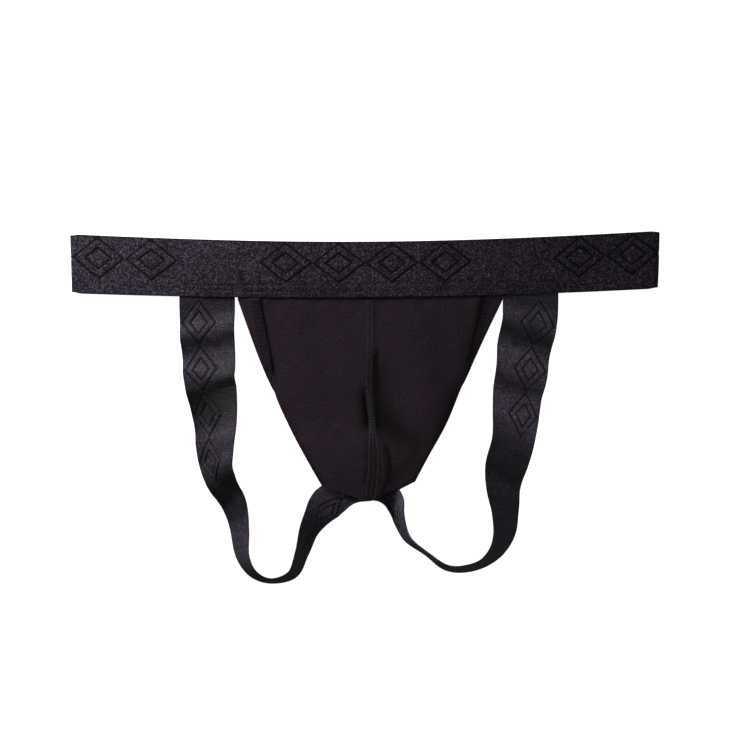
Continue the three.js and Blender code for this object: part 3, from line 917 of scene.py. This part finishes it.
def slab(name, grid, thick, uv, material, shade=None):
    """A closed cloth from the grid of its middle surface."""
    rows, columns = grid.shape[:2]
    normal = grid_normals(grid)
    normal = normal * np.sign(normal[rows // 2, columns // 2, 2])
    top = grid + normal * thick / 2
    bottom = grid - normal * thick / 2
    points = np.concatenate([top.reshape(-1, 3), bottom.reshape(-1, 3)])
    points[:, 2] = np.maximum(points[:, 2], 0.02)
    index = np.arange(rows * columns).reshape(rows, columns)
    a, b, c, d = index[:-1, :-1], index[:-1, 1:], index[1:, 1:], index[1:, :-1]
    quads = np.stack([a, b, c, d], -1).reshape(-1, 4)
    lower = quads[:, ::-1] + rows * columns
    rim = np.concatenate([index[0], index[1:, -1], index[-1, -2::-1], index[-2:0:-1, 0]])
    after = np.roll(rim, -1)
    sides = np.stack([rim, rim + rows * columns, after + rows * columns, after], -1)
    faces = np.concatenate([quads, lower, sides])
    first = points[quads[0]]
    if np.cross(first[1] - first[0], first[2] - first[0])[2] < 0:
        faces = faces[:, ::-1]
    flat = np.concatenate([uv.reshape(-1, 2)] * 2)
    if shade is not None:
        shade = np.concatenate([shade.ravel(), np.ones(rows * columns)])
    return make_object(name, points, faces.tolist(), flat, material, 60, shade)


def roll(edge, side, degrees, radius, start):
    """Columns of cloth that roll down from an edge, which lies where the roll's sine is start."""
    columns = []
    for t in np.radians(degrees):
        column = edge.copy()
        column[:, 0] += side * radius * (math.sin(t) - start)
        column[:, 2] -= radius * (1 - math.cos(t))
        columns.append(column)
    return np.stack(columns, 1)


def panel_grid(name, side, columns, rows, depth, far_u, curl):
    """Middle surface of one layer of a panel, from behind the waistband to the base.

    Its outer edge is rolled down with the radius curl. Its uv is its plan.
    """
    uu, vv = np.meshgrid(np.linspace(0, far_u, columns), rows_down(seam_line, 16, rows))
    x, y, z = panel_point(name, uu, vv)
    grid = np.stack([x, y + base_drop(x, vv), z - depth], -1)
    if not curl:
        return grid, grid[..., :2]
    rolled = roll(grid[:, -1], side, np.linspace(0, 105, ROLL_STEPS + 1)[1:], curl, 1)
    grid[..., 0] -= side * curl * smooth(0.9, 1, uu)
    grid = np.concatenate([grid, rolled], 1)
    uv = grid[..., :2].copy()
    steps = np.arange(1, ROLL_STEPS + 1)
    uv[:, -ROLL_STEPS:, 0] = uv[:, -ROLL_STEPS - 1, 0, None] + side * steps * curl * 0.23
    return grid, uv


def sheet_area(grid):
    a = grid[:-1, :-1]
    edge1 = grid[1:, :-1] - a
    edge2 = grid[:-1, 1:] - a
    return float(np.linalg.norm(np.cross(edge1, edge2), axis=2).sum()) * MM * MM


def join_pouch(piece):
    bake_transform(piece)


def cloth_layer(title, grid, thick, uv, material, also=(), flat=None, shade=None):
    """A laid cloth of the pouch, in place of the CAD node of its own name and of any others given."""
    piece = slab(f"{title}_cloth", grid, thick, uv, material, shade)
    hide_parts(title, *also)
    join_pouch(piece)
    size = (grid.reshape(-1, 3).max(0) - grid.reshape(-1, 3).min(0)) * MM
    flat = flat or (float(size[0]), float(size[1]))
    area = min(sheet_area(grid), flat[0] * flat[1])


def hem_height(share, drop, least):
    """Height of the hem's cloth, below the panel's edge that it is sewn to."""
    return np.maximum(height_curve(EDGE_HEIGHTS, np.maximum(share, 0) * 0.76) - drop, least)


def hem_grid(name, side):
    """Middle surface of the hem under the panel's edge, its own outer edge rolled under."""
    line = hem_lines[name]
    ww, vv = np.meshgrid(np.linspace(0, 1, 22), rows_down(line, 14, 150))
    at = line.at(np.maximum(vv, 0))
    x = at[..., 0] - side * HEM_WIDTH * ww
    y = at[..., 1]
    ripple = smooth(1, 0, ww) * smooth(66, 58, y) * smooth(-20, 0, y)
    z = hem_height(vv, 2.5, 0.55) + 0.35 * np.sin(y / 4.3 + side) * ripple
    y, z = tuck(x, y, z, np.maximum(-vv, 0) * line.length, 1.9, 4)
    grid = np.stack([x, y, z], -1)
    grid = np.concatenate([roll(grid[:, 0], side, [150, 115, 80, 40], HEM_CURL, 0), grid], 1)
    return grid, grid[..., :2]


for name, side in SIDES:
    title = f"pouch_panel_{name}"
    grid, uv = panel_grid(name, side, 138, 212, 0.4, 1.0, 1.0)
    shade = pouch_shade(name, grid[..., 0], grid[..., 1])
    also = ("pouch_seam_allowance",) if name == "left" else ()
    cloth_layer(title, grid, 0.8, uv, jersey, also, shade=shade)
    grid, uv = panel_grid(name, side, 60, 110, 1.35, 0.975, 0)
    cloth_layer(f"pouch_lining_{name}", grid, 0.5, uv, lining)
    grid, uv = hem_grid(name, side)
    flat = (0.0165, (hem_lines[name].length + ALLOWANCE) * MM)
    shade = np.ones(grid.shape[:2])
    cloth_layer(f"leg_hem_{name}", grid, 0.8, uv, hem_jersey, flat=flat, shade=shade)


# The hem's strip that shows beside the panel: the share of the hem's length where it ends, its flat size
# in metres, how far it stands above the panel's edge, and the painted shadow of that edge on it: its
# depth, its spread, and a painted shade over the whole strip, darker on the right strip, which lies under
# the panel's edge.
STRIP_END = 0.47
STRIP_FLAT = (0.0135, 0.065)
STRIP_RISE = {"left": 0.5, "right": -1.35}
STRIP_SHADOW = {"left": (0.6, 0.1, 1.0), "right": (0.95, 0.2, 0.8)}


def strip_point(name, side, share, across):
    """A point on top of the hem's showing strip, from 0 on its outline to 1 over the panel's edge."""
    line, edge = hem_lines[name], edge_lines[name]
    down = np.maximum(share, 0)
    beside = down * line.length / edge.length
    narrowing = -side * 0.9 * smooth(STRIP_END, 0.25, share)
    inner = edge.at(beside) + np.stack([narrowing, np.zeros(np.shape(share))], -1)
    w = np.asarray(across)[..., None]
    at = line.at(down) * (1 - w) + inner * w
    x, y, w = at[..., 0], at[..., 1], w[..., 0]
    low = hem_height(share, 1.2, 1.5)
    high = np.maximum(height_curve(EDGE_HEIGHTS, beside) + STRIP_RISE[name], low * 0.98)
    z = low + (high - low) * np.sin(np.clip(w, 0, 1) * np.pi / 2) + 0.18 * np.sin(y / 3.3 + side)
    y, z = tuck(x, y, z, np.maximum(-share, 0) * line.length, 0.5, 3)
    return np.stack([x, y, z], -1)


for name, side in SIDES:
    across = np.concatenate([[0.0, 0.015, 0.04], np.linspace(0.07, 1, 22)])
    ww, vv = np.meshgrid(across, rows_down(hem_lines[name], 14, 80, STRIP_END))
    grid = strip_point(name, side, vv, ww)
    grid[..., 2] -= 0.5 * smooth(0.06, 0, ww) + 1.2 * smooth(STRIP_END - 0.07, STRIP_END, vv)
    depth, spread, tone = STRIP_SHADOW[name]
    # A painted shadow along the strip's inner edge, and on the right strip painted shade all over.
    shade = tone * (1 - depth * bump(ww, 1, spread))
    piece = slab(f"hem_strip_{name}", grid, 0.7, grid[..., :2], hem_jersey, shade)
    join_pouch(piece)
    area = min(sheet_area(grid), STRIP_FLAT[0] * STRIP_FLAT[1])


# ---- stitching ----

def on_seam(share, across):
    """A point on the pouch beside its centre seam."""
    at = seam_line.at(share)
    x = at[..., 0] + across
    y = at[..., 1]
    z = height_curve(SEAM_HEIGHTS, share) + pouch_relief(x, y) + 0.15
    return np.stack([x, y, z], -1)


def finish_stitches(title, paths, radius, ride=None, yarn=band_thread):
    """One row or patch of stitching, in place of the CAD node of the same name."""
    piece = threads(f"{title}_thread", paths, radius, yarn)
    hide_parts(title)
    if ride:
        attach(piece, ride)
    else:
        join_pouch(piece)


def seam_stitch(share, span, first, last, rise):
    """A thread that crosses the seam from one offset to another, close over the cloth."""
    t = np.linspace(0, 1, 7)
    path = on_seam(share + span * t, first + (last - first) * t)
    path[:, 2] += rise * np.sin(np.pi * t) ** 0.6 - 0.12
    return path


def seam_paths():
    """Two rows of stitches, a third low down where the seam widens, and slanting threads between them."""
    paths = []
    step = 1.5 / SEAM_LENGTH
    for row in (-1, 0, 1):
        share = 0.004 if row else 0.66
        while share < 0.975:
            offset = row * (1.65 + 1.2 * smooth(0.62, 0.8, share))
            paths.append(seam_stitch(share, step, offset - 0.45, offset + 0.45, 0.34))
            share += step * 1.25
    share = 0.004
    while share < 0.66:
        paths.append(seam_stitch(share, 0.9 * step, -1.5, 1.5, 0.3))
        share += step
    return paths


finish_stitches("centre_seam_stitching", seam_paths(), 0.24, yarn=seam_thread)


def band_rows(first_x, last_x, rows, length, gap):
    """Rows of short stitches along the waistband, each at a height from its lower edge, with a swing."""
    paths = []
    for up, swing in rows:
        x = first_x
        turn = 1
        while x < last_x:
            a = band_point(x, up - swing * turn)
            b = band_point(x + length, up + swing * turn)
            paths.append(stitch(a, b, 0.3))
            turn = -turn
            x += length + gap
    return paths


pouch_rows = [(2.2, 0.0), (9.0, 0.0), (5.4, 1.5)]
strap_rows = [(2.4, 0.0), (8.2, 0.0), (5.3, 1.2)]
finish_stitches("pouch_seam_stitching", band_rows(-78, 83, pouch_rows, 1.7, 0.6), 0.24, "waistband")
for name, strap, hem in (("left", LEFT_STRAP, LEFT_HEM), ("right", RIGHT_STRAP, RIGHT_HEM)):
    x = strap[0][0]
    paths = band_rows(x - 16, x + 16, strap_rows, 1.9, 0.6)
    finish_stitches(f"strap_stitching_{name}", paths, 0.24, "waistband")
    corner = hem[0][0]
    tack = []
    for i in range(12):
        up = 10.6 + i * 0.5
        tack.append(stitch(band_point(corner - 1.5, up), band_point(corner + 1.5, up + 0.2), 0.3))
    finish_stitches(f"corner_bartack_{name}", tack, 0.22, "waistband")


def hem_paths(name, side):
    """Three rows of stitches on the hem's showing strip."""
    length = hem_lines[name].length
    paths = []
    for inset in (1.8, 3.4, 5.0):
        share = 0.008
        while share < STRIP_END - 0.03:
            ends = []
            narrow = False
            for s in (share, share + 1.9 / length):
                outer, inner = [strip_point(name, side, np.array(s), across)[0] for across in (0.0, 1.0)]
                across = 1 - inset / abs(inner - outer)
                narrow = narrow or across <= 0.12
                ends.append(strip_point(name, side, np.array(s), across) + [0, 0, 0.36])
            if not narrow:
                paths.append(stitch(*ends, 0.34))
            share += 2.6 / length
    return paths


for name, side in SIDES:
    finish_stitches(f"leg_hem_stitching_{name}", hem_paths(name, side), 0.22, yarn=hem_thread)


def base_paths():
    """Two rows of stitches along the pouch's lower edge."""
    paths = []
    for name, side in SIDES:
        for v in (0.955, 0.975):
            width = abs(edge_lines[name].at(v)[0] - seam_line.at(v)[0])
            u = 0.06
            while u < 0.9:
                pair = []
                for k in (u, u + 1.8 / width):
                    x, y, z = panel_point(name, np.array(k), np.array(v))
                    pair.append((float(x), float(y + base_drop(x, v)), float(z)))
                paths.append(stitch(*pair, 0.08))
                u += 2.5 / width
    return paths


def join_paths():
    """Wide slanting stitches up the back of the waistband, where its two ends meet."""
    paths = []
    for i in range(17):
        up = 2 + i * 31 / 16
        slant = 0.9 if i % 2 else -0.9
        a = on_band(np.array(-2.5), np.array(up), THICK + 0.15)
        b = on_band(np.array(2.5), np.array(up + slant), THICK + 0.15)
        paths.append(stitch(a, b, 0.25, 9))
    return paths


finish_stitches("base_stitching", base_paths(), 0.17, "pouch")
finish_stitches("waistband_join_stitching", join_paths(), 0.2, "waistband")


# ---- care label ----

LABEL_SIZE = (30, 24)
LABEL_CORNER = (6, 5)


def build_label():
    u, v = np.meshgrid(np.linspace(0, 1, 61), np.linspace(1, 0, 49))
    across = LABEL_SIZE[0] * u
    up = LABEL_SIZE[1] * v
    z = THICK + 0.55 + 0.12 * np.sin(u * 9) * np.sin(v * 7) + 0.25 * bump(u, 1, 0.08)
    grid = on_band(LABEL_CORNER[0] + across, LABEL_CORNER[1] + up, z)
    piece = slab("care_label_cloth", grid, 0.28, np.stack([across, up], -1), label)
    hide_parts("care_label")
    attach(piece, "waistband")


build_label()


# ---- floor, light and camera ----

FLOOR_HALF = 3
# Each light's name, place in metres, size, power and the point it faces.
LIGHTS = [
    ("key", (-0.37, 0.26, 0.19), 0.16, 1.45, (-0.02, 0.03, 0)),
    ("top", (0.1, 0.68, 0.75), 0.7, 2.55, (0, 0, 0)),
    ("right", (0.42, -0.32, 0.3), 0.3, 0.74, (0, 0, 0)),
]
SKY = (0.97, 0.98, 1, 1)
SKY_STRENGTH = 0.05
CAMERA_PLACE = (0.0063, 0.0211, 2.5)
SENSOR = 36
VIEW_WIDTH = 0.4725


def build_floor():
    mesh = bpy.data.meshes.new("floor")
    corners = [(x * FLOOR_HALF, y * FLOOR_HALF, 0) for x, y in ((-1, -1), (1, -1), (1, 1), (-1, 1))]
    mesh.from_pydata(corners, [], [(0, 1, 2, 3)])
    floor = add_object("floor", mesh)
    material = bpy.data.materials.new("floor")
    material.use_nodes = True
    shader = material.node_tree.nodes["Principled BSDF"]
    shader.inputs["Base Color"].default_value = (0.9, 0.9, 0.9, 1)
    shader.inputs["Roughness"].default_value = 0.9
    shader.inputs["Specular IOR Level"].default_value = 0.1
    shader.inputs["Emission Color"].default_value = (1, 1, 1, 1)
    shader.inputs["Emission Strength"].default_value = 0.95
    mesh.materials.append(material)
    floor.visible_diffuse = False
    floor.visible_glossy = False


def area_light(name, place, size, power, target):
    light = bpy.data.lights.new(name, "AREA")
    light.shape = "DISK"
    light.size = size
    light.energy = power
    lamp = add_object(name, light)
    lamp.location = place
    lamp.rotation_euler = (Vector(target) - Vector(place)).to_track_quat("-Z", "Y").to_euler()


build_floor()
for light in LIGHTS:
    area_light(*light)

world = bpy.data.worlds.new("world")
world.use_nodes = True
sky = world.node_tree.nodes["Background"]
sky.inputs[0].default_value = SKY
sky.inputs[1].default_value = SKY_STRENGTH
bpy.context.scene.world = world
bpy.context.scene.view_settings.view_transform = "Standard"

camera_data = bpy.data.cameras.new("camera")
camera_data.sensor_width = SENSOR
camera_data.lens = SENSOR * CAMERA_PLACE[2] / VIEW_WIDTH
camera = add_object("camera", camera_data)
camera.location = CAMERA_PLACE
bpy.context.scene.camera = camera
